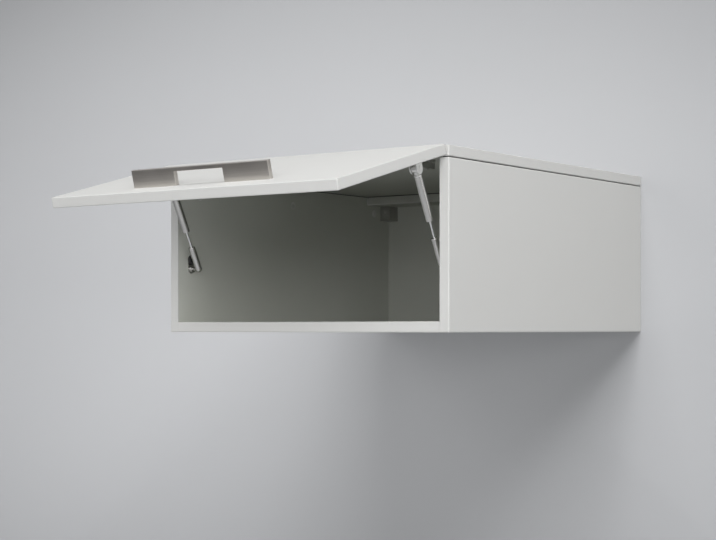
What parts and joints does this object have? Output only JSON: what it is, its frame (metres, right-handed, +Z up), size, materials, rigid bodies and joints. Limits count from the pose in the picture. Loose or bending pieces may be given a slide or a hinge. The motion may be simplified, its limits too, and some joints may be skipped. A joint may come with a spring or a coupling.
{
  "type": "lift up wall cabinet",
  "caption": "White wall cabinet with a top-hung lift up flap, a bar handle and a telescopic stay at each side that holds the flap open.",
  "frame": {"origin": "on the wall plane, at the middle of the bottom panel's rear edge", "axes": "+Z up, +Y into the wall, the front with the flap faces -Y, +X to the right seen from the front"},
  "size_m": [0.6, 0.9743, 0.3007],
  "materials": {
    "beech": "plain beech",
    "black_plastic": "black moulded plastic",
    "handle_metal": "warm grey brushed metal",
    "hinge_metal": "nickel plated pressed steel",
    "rod_metal": "polished chrome",
    "stay_metal": "satin nickel",
    "white_back": "white faced thin board, matt",
    "white_board": "white lacquered board, satin",
    "zinc": "zinc plated"
  },
  "bodies": {
    "carcass": {"back_panel": "white_back", "bottom_panel": "white_board", "cam_bolts": "zinc", "cam_discs": "zinc", "hanger_adjusting_screws": "zinc", "hanger_body_left": "zinc", "hanger_body_right": "zinc", "hanger_hook_left": "zinc", "hanger_hook_right": "zinc", "hanger_plugs": "zinc", "hinge_arm_left": "hinge_metal", "hinge_arm_right": "hinge_metal", "hinge_arm_screws": "zinc", "hinge_plate_left": "hinge_metal", "hinge_plate_right": "hinge_metal", "hinge_plate_screws": "zinc", "rear_stretcher": "white_board", "side_bracket_cap_left": "black_plastic", "side_bracket_cap_right": "black_plastic", "side_bracket_left": "stay_metal", "side_bracket_right": "stay_metal", "side_bracket_screws": "stay_metal", "side_panel_left": "white_board", "side_panel_right": "white_board", "side_stud_left": "stay_metal", "side_stud_right": "stay_metal", "top_panel": "white_board", "wood_dowels": "beech"},
    "flap": {"flap_bracket_left": "stay_metal", "flap_bracket_right": "stay_metal", "flap_bracket_screws": "zinc", "flap_panel": "white_board", "handle": "handle_metal", "handle_screws": "zinc", "hinge_cup_left": "hinge_metal", "hinge_cup_right": "hinge_metal", "hinge_cup_screws": "zinc", "hinge_pin_left": "zinc", "hinge_pin_right": "zinc", "pivot_pin_left": "stay_metal", "pivot_pin_right": "stay_metal"},
    "strut_tube_right": {"strut_eye_right": "stay_metal", "strut_gland_right": "black_plastic", "strut_tube_right": "stay_metal"},
    "strut_tube_left": {"strut_eye_left": "stay_metal", "strut_gland_left": "black_plastic", "strut_tube_left": "stay_metal"},
    "strut_rod_right": {"strut_piston_right": "stay_metal", "strut_rod_right": "rod_metal", "strut_sleeve_right": "stay_metal"},
    "strut_rod_left": {"strut_piston_left": "stay_metal", "strut_rod_left": "rod_metal", "strut_sleeve_left": "stay_metal"}
  },
  "joints": [
    {"name": "flap_hinge", "type": "hinge", "parent": "carcass", "child": "flap", "pos_m": [0, -0.6926, 0.2819], "axis": [1, 0, 0], "range_deg": [0, 75]},
    {"name": "strut_swing_right", "type": "hinge", "parent": "flap", "child": "strut_tube_right", "pos_m": [0.2626, -0.71854, 0.25083], "axis": [1, 0, 0], "range_deg": [-92.34, 0]},
    {"name": "strut_slide_right", "type": "slide", "parent": "strut_tube_right", "child": "strut_rod_right", "axis": [0, -0.4466, 0.8947], "range_m": [0, 0.01726]},
    {"name": "strut_swing_left", "type": "hinge", "parent": "flap", "child": "strut_tube_left", "pos_m": [-0.2626, -0.71854, 0.25083], "axis": [1, 0, 0], "range_deg": [-92.34, 0]},
    {"name": "strut_slide_left", "type": "slide", "parent": "strut_tube_left", "child": "strut_rod_left", "axis": [0, -0.4466, 0.8947], "range_m": [0, 0.01726]}
  ],
  "couplings": [
    {"joint": "strut_swing_right", "follows": "flap_hinge", "ratio": -1.2306},
    {"joint": "strut_slide_right", "follows": "flap_hinge", "m_per_rad": 0.013174},
    {"joint": "strut_swing_left", "follows": "flap_hinge", "ratio": -1.2306},
    {"joint": "strut_slide_left", "follows": "flap_hinge", "m_per_rad": 0.013174}
  ]
}
